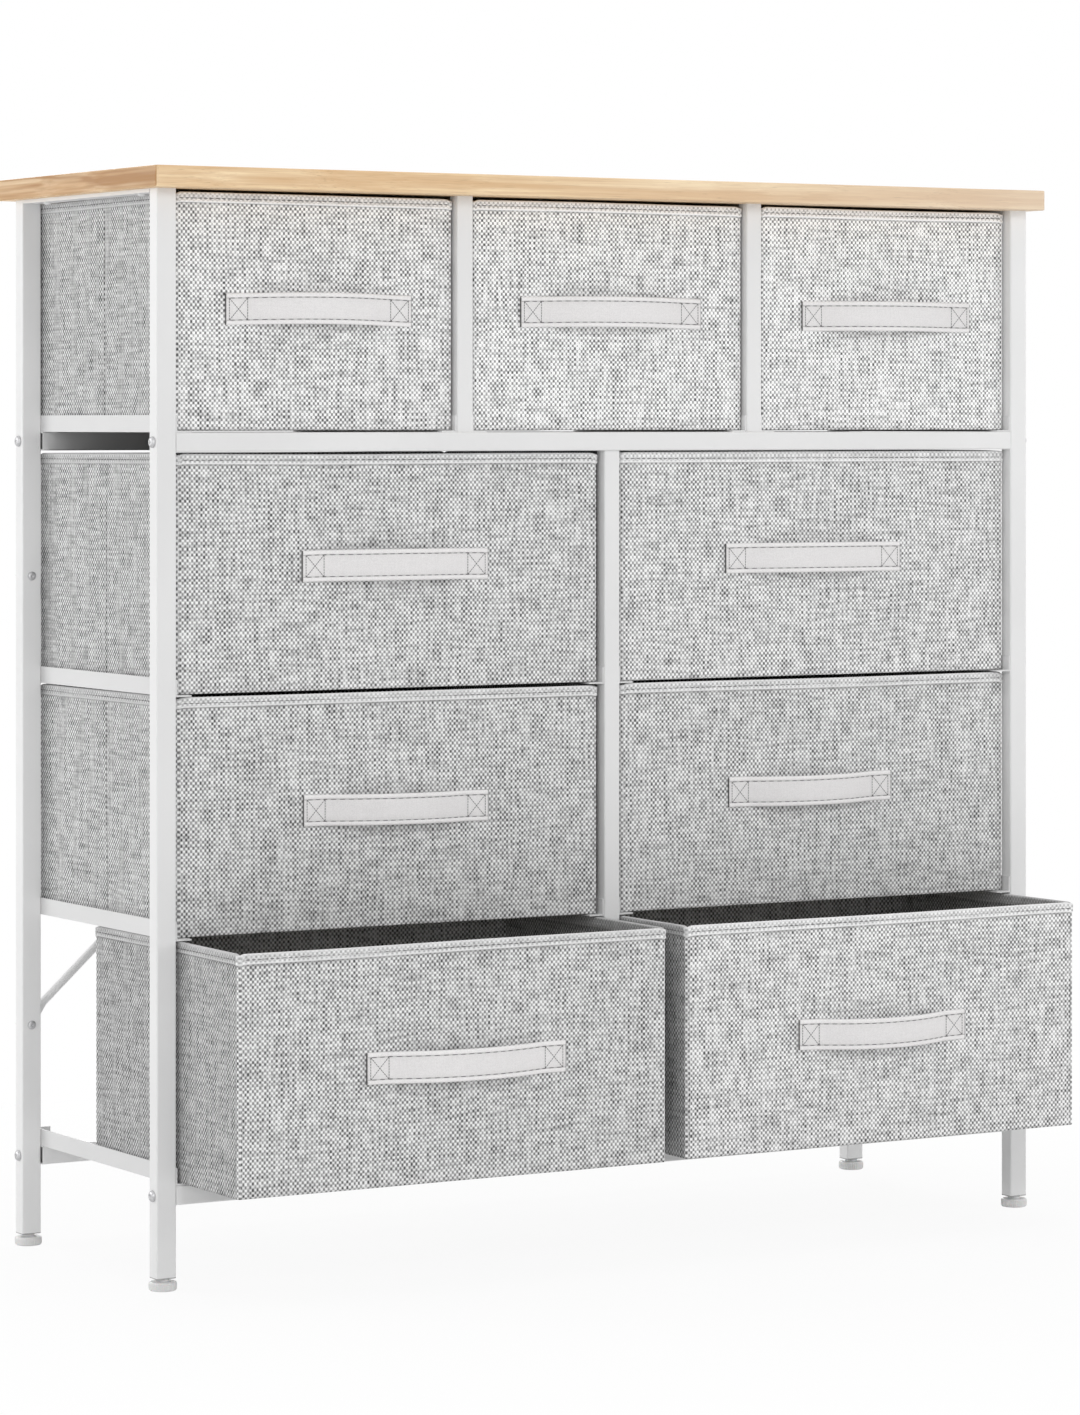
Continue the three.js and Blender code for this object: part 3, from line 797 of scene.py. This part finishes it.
# The rims wave and dip at the corners. The second right drawer's rim stands higher at its sides and
# rear than in front. The top drawers' rims lie a little lower, and their floors hang at the rear
# between the runners. The wide right drawers fill their bays a little more on the right.
top_row = ["row1_left", "row1_middle", "row1_right"]
rim_wave_height = 0.00022
dip_width, dip_start, dip_run = 0.0026, 0.205, 0.012
usual_corner_dip = 0.0014
corner_dip = {"row2_right": 0.0003}
rim_drop = dict.fromkeys(top_row, 0.0015)
front_rise = {"row2_right": 0.0007}
rear_rise = {"row2_right": 0.0014}
rise_start, rise_run, rise_back_run, raised_wave = 0.2160, 0.0036, 0.03, 0.2
rear_hang = dict.fromkeys(top_row, 0.0009)
hang_height, runner_reach, hang_fade = 0.02, 0.03, 0.03
right_fill = dict.fromkeys(("row2_right", "row3_right", "row4_right"), 0.002)


def shell_box(name):
    """The drawer's outer box in linen."""
    low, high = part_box(f"{name}_shell")
    high = Vector(high)
    high.x += right_fill.get(name, 0)
    return Vector(low), high


def cloth_object(name, points, material, round_runs, row_runs, origin, lengthwise, layers):
    """A closed piece of cloth from rings of points, with layers of values on them. Its weave map
    goes by the runs of cloth round a ring and from ring to ring, swapped in a lengthwise piece."""
    count = len(round_runs) - 1
    faces = bands(len(row_runs), count)
    map_points = []
    for near, far in zip(row_runs, row_runs[1:]):
        for left, right in zip(round_runs, round_runs[1:]):
            for place in ((left, near), (right, near), (right, far), (left, far)):
                u, v = reversed(place) if lengthwise else place
                map_points += [origin[0] + u, origin[1] + v]
    first, second = (1, 2) if lengthwise else (0, 1)
    last = (len(row_runs) - 1) * count
    for ring in (range(count - 1, -1, -1), range(last, last + count)):
        faces.append(tuple(ring))
        for i in ring:
            map_points += [origin[0] + points[i][first], origin[1] + points[i][second]]
    piece = mesh_object(name, points, faces, material)
    weave = piece.data.uv_layers.new(name="weave")
    weave.data.foreach_set("uv", map_points)
    for layer_name, values in layers.items():
        layer = piece.data.attributes.new(layer_name, "FLOAT", "POINT")
        layer.data.foreach_set("value", values)
    return piece


def bowed(share):
    """How freely the card moves at a share of a panel's length, nothing at its corners."""
    return math.sin(math.pi * share) ** corner_hold


def worked_cloth(name, tone, panel, along, length, height, outside):
    """How far seams and folds move the cloth out at a place, and its tone there: painted shade
    and highlight at seams and creases, and painted light and shade on the sides and fronts.
    """
    move, on_side = 0.0, panel % 2 == 1
    if outside and (not on_side or along > length):
        from_end = min(along, length - along)
        # The seam's groove is darkened with painted shade and its ridge lightened with a painted
        # highlight
        groove = math.exp(-(((from_end - seam_in) / seam_width) ** 2))
        ridge = math.exp(-(((from_end + ridge_out) / ridge_width) ** 2))
        strong = 1.0 if panel == 2 or name in strong_seam else slack_seam
        move += strong * (ridge_height * ridge - seam_depth * groove)
        tone *= 1 + strong * (ridge_painted_highlight * ridge - seam_painted_shade * groove)
    if on_side and along < length:
        off = abs(along - length / 2)
        move -= fold_depth * math.exp(-off / fold_reach) * (1 if outside else fold_inside)
        if outside:
            # The crease is darkened with painted shade
            crease = math.exp(-((off / crease_width) ** 2))
            move -= crease_depth * crease
            tone *= 1 - crease_painted_shade * crease
        # The side hems' painted marks are softened, the sides darkened with painted shade, and the
        # fronts painted lighter or darker as painted light
        if name[:4] != "row4" and height > hem_outer[0][1]:
            tone = 1 + (tone - 1) * quiet_hem
        tone *= side_painted_shade.get(name, usual_side_painted_shade)
    elif panel == 0:
        tone *= front_painted_light_and_shade.get(name, 1)
    return move, tone


def drawer_shell(name, rng):
    """One drawer's shell: the wall's rows round its outline, closed by the underside and floor."""
    low, high = shell_box(name)
    width = high.x - low.x - 2 * hem_proud
    depth = high.y - low.y - 2 * hem_proud
    centre_x, front, floor_z = (low.x + high.x) / 2, low.y + hem_proud, low.z
    columns, around = shell_columns(width, depth)
    waves = rng.uniform(0, 2 * math.pi, (4, 4, 2))
    lean = rng.uniform(-card_lean, card_lean, 4)
    rim_wave = rng.uniform(0, 2 * math.pi, 3)

    def sway(panel, along, length, height):
        """How far the card bows in or out at a place."""
        share = min(max(along / length, 0), 1)
        level = height / rim_top
        out = card_bow
        for k, (first, second) in enumerate(waves[panel]):
            wave = math.sin((k + 1) * math.pi * share + first)
            out += card_wave * wave * math.sin((0.6 + 0.5 * k) * math.pi * level + second)
        return bowed(share) * (out + lean[panel] * (level - 0.5))

    def lifted(x, y, run, from_end, height):
        """How far the cloth stands above its plain height at a place."""
        wave = sum(math.sin((k + 2) * 2 * math.pi * run / around + rim_wave[k]) for k in range(3))
        lift = rim_wave_height * wave * ramp(height, rim_top)
        back = ramp(y, rise_back_run)
        rise = front_rise.get(name, 0) * (1 - back) + rear_rise.get(name, 0) * back
        if rise:
            lift = raised_wave * lift + rise * ramp(height - rise_start, rise_run)
        hang = rear_hang.get(name, 0) * (y / depth) ** 2 * (1 - ramp(height, hang_height))
        lift -= hang * ramp(width / 2 - abs(x) - runner_reach, hang_fade)
        dip = corner_dip.get(name, usual_corner_dip) * ramp(height - dip_start, dip_run)
        return lift - dip * math.exp(-((max(0, from_end) / dip_width) ** 2))

    shrink = 1 - rim_drop.get(name, 0) / rim_top
    points, painted_shades_and_tones, flats = [], [], []
    for row, (out, height, tone, pressed) in enumerate(wall_rows):
        outside = row < outer_rows
        for x, y, nx, ny, run, panel, along, length in columns:
            move, painted_shade_and_tone = worked_cloth(name, tone, panel, along, length, height, outside)
            move += out + sway(panel, along, length, height)
            lift = lifted(x, y, run, min(along, length - along), height)
            z = floor_z + height * shrink + lift
            points.append((centre_x + x + nx * move, front + y + ny * move, z))
            painted_shades_and_tones.append(painted_shade_and_tone)
            flats.append(pressed)

    runs = [column[4] for column in columns] + [around]
    climb = [0.0]
    for before, after in zip(wall_rows, wall_rows[1:]):
        climb.append(climb[-1] + math.hypot(after[0] - before[0], after[1] - before[1]))
    origin = rng.uniform(1, 30, 2)
    layers = {"painted_shade_and_tone": painted_shades_and_tones, "pressed": flats}
    return cloth_object(f"{name}_linen_shell", points, linen, runs, climb, origin, False, layers)


# The hems' thread: dark grey and twisted, its grey painted darker as painted shade of the stitches.
# One seam runs round each drawer, in a groove under the rim, and the handles are sewn with the same
# thread.
thread, thread_tree, thread_shader = finish("grey_thread", (0.2, 0.2, 0.2), 0.8)
thread_place = object_place(thread_tree)
twist = graded(thread_tree, cloud(thread_tree, thread_place, 2500, 1), 0.35, 0.65)
twist_colour = blended(thread_tree, twist, (0.08, 0.08, 0.082, 1), (0.20, 0.20, 0.20, 1))
wire(thread_shader.inputs["Base Color"], twist_colour)
wire(thread_shader.inputs["Normal"], raised(thread_tree, twist, 0.0001, 0.5))


def stitch(points, faces, start, end, out, radius):
    """One stitch from start to end, lying on a surface that faces out, rounded at both ends."""
    start, end, out = Vector(start), Vector(end), Vector(out).normalized()
    along = (end - start).normalized()
    across = along.cross(out)
    length = (end - start).length
    base, sides = len(points), 6
    points.append(start)
    shape = ((0.12, 0.75), (0.35, 1), (0.65, 1), (0.88, 0.75))
    for share, swell in shape:
        for i in range(sides):
            turn = 2 * math.pi * i / sides
            reach = across * math.cos(turn) + out * math.sin(turn)
            points.append(start + along * (length * share) + reach * (radius * swell))
    points.append(end)
    last = len(points) - 1
    for i in range(sides):
        j = (i + 1) % sides
        faces.append((base, base + 1 + i, base + 1 + j))
        faces.append((last, last - sides + j, last - sides + i))
        for ring in range(len(shape) - 1):
            a, b = base + 1 + ring * sides, base + 1 + (ring + 1) * sides
            faces.append((a + i, b + i, b + j, a + j))


stitch_pitch = 0.0062
stitch_length = 0.0043
stitch_radius = 0.0004
hem_seam_height = 0.2152
hem_seam_out = 0.0009
hem_seam_gap = 0.008


def hem_seam(name):
    """The drawer's row of hem stitches, which bows with the card and stops short of each corner."""
    low, high = shell_box(name)
    points, faces = [], []
    z = low.z + hem_seam_height * (1 - rim_drop.get(name, 0) / rim_top)
    for x, y, way_x, way_y, length in (
        (low.x, low.y, 1, 0, high.x - low.x), (high.x, low.y, 0, 1, high.y - low.y),
        (high.x, high.y, -1, 0, high.x - low.x), (low.x, high.y, 0, -1, high.y - low.y),
    ):
        nx, ny = way_y, -way_x
        count = int((length - hem_seam_gap) / stitch_pitch)
        first = (length - count * stitch_pitch) / 2 + (stitch_pitch - stitch_length) / 2
        for i in range(count):
            a = first + i * stitch_pitch
            out = card_bow * bowed(a / length) - hem_proud + hem_seam_out
            ends = [
                (x + way_x * p + nx * out, y + way_y * p + ny * out, z)
                for p in (a, a + stitch_length)
            ]
            stitch(points, faces, *ends, (nx, ny, 0), stitch_radius)
    return mesh_object(f"{name}_hem_seam", points, faces, thread)


drawer_names = top_row + [f"row{row}_{side}" for row in (2, 3, 4) for side in ("left", "right")]
for number, name in enumerate(drawer_names):
    shell = drawer_shell(name, np.random.default_rng(40 + number))
    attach(shell, f"{name}_drawer")
    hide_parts(f"{name}_shell")
    seam = hem_seam(name)
    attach(seam, f"{name}_drawer")


# The base boards: thin fibreboard, cut a little smaller than each drawer's floor. They lie loose
# on it and keep it flat.
fibreboard, board_tree, board_shader = finish("fibreboard", (0.45, 0.40, 0.34), 0.9)
board_place = object_place(board_tree)
fibres = graded(board_tree, cloud(board_tree, board_place, 500, 5, 0.7), 0.3, 0.7)
patches = graded(board_tree, cloud(board_tree, board_place, 25, 3), 0.3, 0.7)
fibre_colour = blended(board_tree, fibres, (0.34, 0.295, 0.24, 1), (0.52, 0.47, 0.40, 1))
patch_share = reckon(board_tree, "MULTIPLY", patches, 0.4)
patched = blended(board_tree, patch_share, fibre_colour, (0.40, 0.355, 0.30, 1))
wire(board_shader.inputs["Base Color"], patched)
wire(board_shader.inputs["Normal"], raised(board_tree, fibres, 0.0002, 0.6))
for name in drawer_names:
    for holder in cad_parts[f"{name}_base_board"].material_slots:
        holder.material = fibreboard


# The handles: a strap of pale cloth folded to a band with rolled edges, sewn along both edges and,
# with a boxed cross at each end, to the drawer's front. In between it stands clear for the fingers.
webbing, _, webbing_shader = finish("handle_cloth", (0.75, 0.74, 0.74), 0.85)
wire(webbing_shader.inputs["Specular IOR Level"], 0.2)
wire(webbing_shader.inputs["Sheen Weight"], 0.1)
webbing_gains = {
    "middle": 0.5, "wander": 0.6, "crown": 0.5, "crown_middle": 0.45, "slub": 0.5,
    "slub_run": 60.0, "speck": 0.35, "warp_dot": 0.0, "cloud": 0.25, "streak": 0.0,
    "pressed_tone": 0.5,
}
strap_pitch, strap_relief = 0.0007, 0.00015
strap_dark, strap_light = (0.73, 0.715, 0.715), (0.97, 0.955, 0.955)
woven(webbing, strap_pitch, strap_pitch, strap_dark, strap_light, webbing_gains, strap_relief)

strap_half = 0.01475
strap_middle = 0.0012
strap_sink = 0.0001
sewn_length = 0.024
strap_lift = 0.0150
lift_fullness, lift_softness = 2.3, 1.15

# Across the strap, from its top edge down the front and back up behind: how high, as a share of
# half its width, how far out, and its tone. Both edges are sewn in a groove, darkened with painted
# shade, and the tone is lighter along the rolled edges.
seam_share = 0.695
strap_front = [
    (1.0, 0.0013, 0.95), (0.975, 0.0021, 1.04), (0.92, 0.0026, 1.08), (0.82, 0.0027, 1.08),
    (0.745, 0.0026, 1.05), (0.715, 0.0023, 0.8), (seam_share, 0.0020, 0.6), (0.675, 0.0022, 0.8),
    (0.63, 0.0024, 0.98), (0.33, 0.0024, 1.0), (0, 0.00245, 1.0),
]
strap_rear = [(0.4, 0, 1), (0.92, 0, 1), (0.975, 0.0004, 1)]
strap_ring = strap_front + [(-a, b, c) for a, b, c in reversed(strap_front[:-1])]
strap_ring += [(-a, b, c) for a, b, c in reversed(strap_rear)] + strap_rear

# The strap's ends are cut square and a little pressed together, and painted dark at the cut ends as
# painted shadow
strap_ends = (0, 0.0004, 0.0012, 0.0025)
strap_steps = 72
press_share, press_run, press_narrowing = 0.15, 0.0012, 0.0004
end_painted_shadow, end_shadow_run = 0.12, 0.0006

# The stitches' pitch, length and radius, and how far out on the strap they lie
edge_stitches = (0.00817, 0.0055, 0.0004, 0.0022)
box_stitches = (0.0026, 0.0024, 0.00034, 0.00247)
edge_margin, edge_runs = 0.003, 24
box_near, box_far = 0.0035, 0.0225


def strap_path(along, strap_length):
    """How far out the strap's back is, at a distance from its left end."""
    loose = strap_length - 2 * sewn_length
    share = (along - sewn_length) / loose
    if share <= 0 or share >= 1:
        return 0.0
    return strap_lift * (1 - abs(2 * share - 1) ** lift_fullness) ** lift_softness


# Each strap's length from end to end, its middle against the drawer's own, to the right and up, its
# rise from the left end to the right, and how far its middle stands above its ends
strap_lay = {
    "row1_left": (0.1960, 0.0035, -0.0027, 0.0001, 0.0017),
    "row1_middle": (0.2034, 0.0020, -0.0020, 0.0001, 0.0011),
    "row1_right": (0.2022, 0.0027, -0.0026, 0.0003, 0.0005),
    "row2_left": (0.1995, 0.0036, 0.0009, -0.0001, 0.0008),
    "row2_right": (0.2068, -0.0030, 0.0015, -0.0005, 0.0006),
    "row3_left": (0.1985, 0.0042, -0.0046, -0.0023, 0.0002),
    "row3_right": (0.1920, -0.0070, -0.0041, 0.0004, -0.0006),
    "row4_left": (0.2105, 0.0096, -0.0070, -0.0014, -0.0003),
    "row4_right": (0.1940, -0.0020, -0.0070, -0.0010, -0.0018),
}


def strap(name):
    """One handle: the strap, and its sewing along both edges and in the two boxed crosses."""
    low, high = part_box(f"{name}_handle")
    shell_low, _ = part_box(f"{name}_shell")
    strap_length, to_right, up, tilt, arch = strap_lay[name]
    left_end = (low.x + high.x) / 2 + to_right - strap_length / 2
    centre_z = (low.z + high.z) / 2 + up
    back = shell_low.y + hem_proud - strap_sink

    def surface(along, across, out):
        """A point of the strap: along it, up from its middle line and out from its back."""
        step = 0.0005
        before, after = (strap_path(along + s, strap_length) for s in (-step, step))
        slope = (after - before) / (2 * step)
        size = math.hypot(1, slope)
        share = along / strap_length
        middle_z = centre_z + tilt * (share - 0.5) + arch * (math.sin(math.pi * share) - 0.5)
        x = left_end + along - slope / size * out
        y = back - strap_path(along, strap_length) - out / size
        return Vector((x, y, middle_z + across))

    places = places_along(strap_length, strap_ends, strap_steps)
    points, painted_shades_and_tones = [], []
    for along in places:
        end = min(along, strap_length - along)
        squeeze = 1 - press_share * (1 - math.sqrt(ramp(end, press_run)))
        # The ends are painted dark, as painted shadow
        end_shadow = end_painted_shadow + (1 - end_painted_shadow) * ramp(end, end_shadow_run)
        for height, out, tone in strap_ring:
            across = height * (strap_half - press_narrowing * (1 - squeeze))
            points.append(surface(along, across, strap_middle + (out - strap_middle) * squeeze))
            painted_shades_and_tones.append(tone * end_shadow)
    runs = [0.0]
    for (a, b, _), (c, d, _) in zip(strap_ring, strap_ring[1:] + strap_ring[:1]):
        runs.append(runs[-1] + math.hypot((a - c) * strap_half, b - d))
    origin = [3.0 + len(name) + low.x + low.z] * 2
    layers = {"painted_shade_and_tone": painted_shades_and_tones}
    piece = cloth_object(f"{name}_strap", points, webbing, runs, places, origin, True, layers)

    points, faces = [], []

    def sew(start, end, pitch, length, radius, out):
        """A row of stitches over the strap, between two places given as (along, across)."""
        (a, b), (c, d) = start, end
        count = max(1, round(math.hypot(c - a, d - b) / pitch))
        outward = surface((a + c) / 2, 0, 0.003) - surface((a + c) / 2, 0, 0.001)
        half = length / pitch / 2
        for i in range(count):
            shares = ((i + 0.5 - half) / count, (i + 0.5 + half) / count)
            ends = [surface(a + (c - a) * share, b + (d - b) * share, out) for share in shares]
            stitch(points, faces, *ends, outward, radius)

    edge = strap_half * seam_share
    edge_run = (strap_length - 2 * edge_margin) / edge_runs
    for across in (edge, -edge):
        for i in range(edge_runs):
            a = edge_margin + edge_run * i
            sew((a, across), (a + edge_run, across), *edge_stitches)
    for a, b in ((box_near, box_far), (strap_length - box_near, strap_length - box_far)):
        sew((a, edge), (a, -edge), *box_stitches)
        sew((b, edge), (b, -edge), *box_stitches)
        sew((a, edge), (b, -edge), *box_stitches)
        sew((a, -edge), (b, edge), *box_stitches)
    sewing = mesh_object(f"{name}_strap_sewing", points, faces, thread)
    return piece, sewing


for name in drawer_names:
    piece, sewing = strap(name)
    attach(piece, f"{name}_drawer")
    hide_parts(f"{name}_handle")
    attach(sewing, f"{name}_drawer")
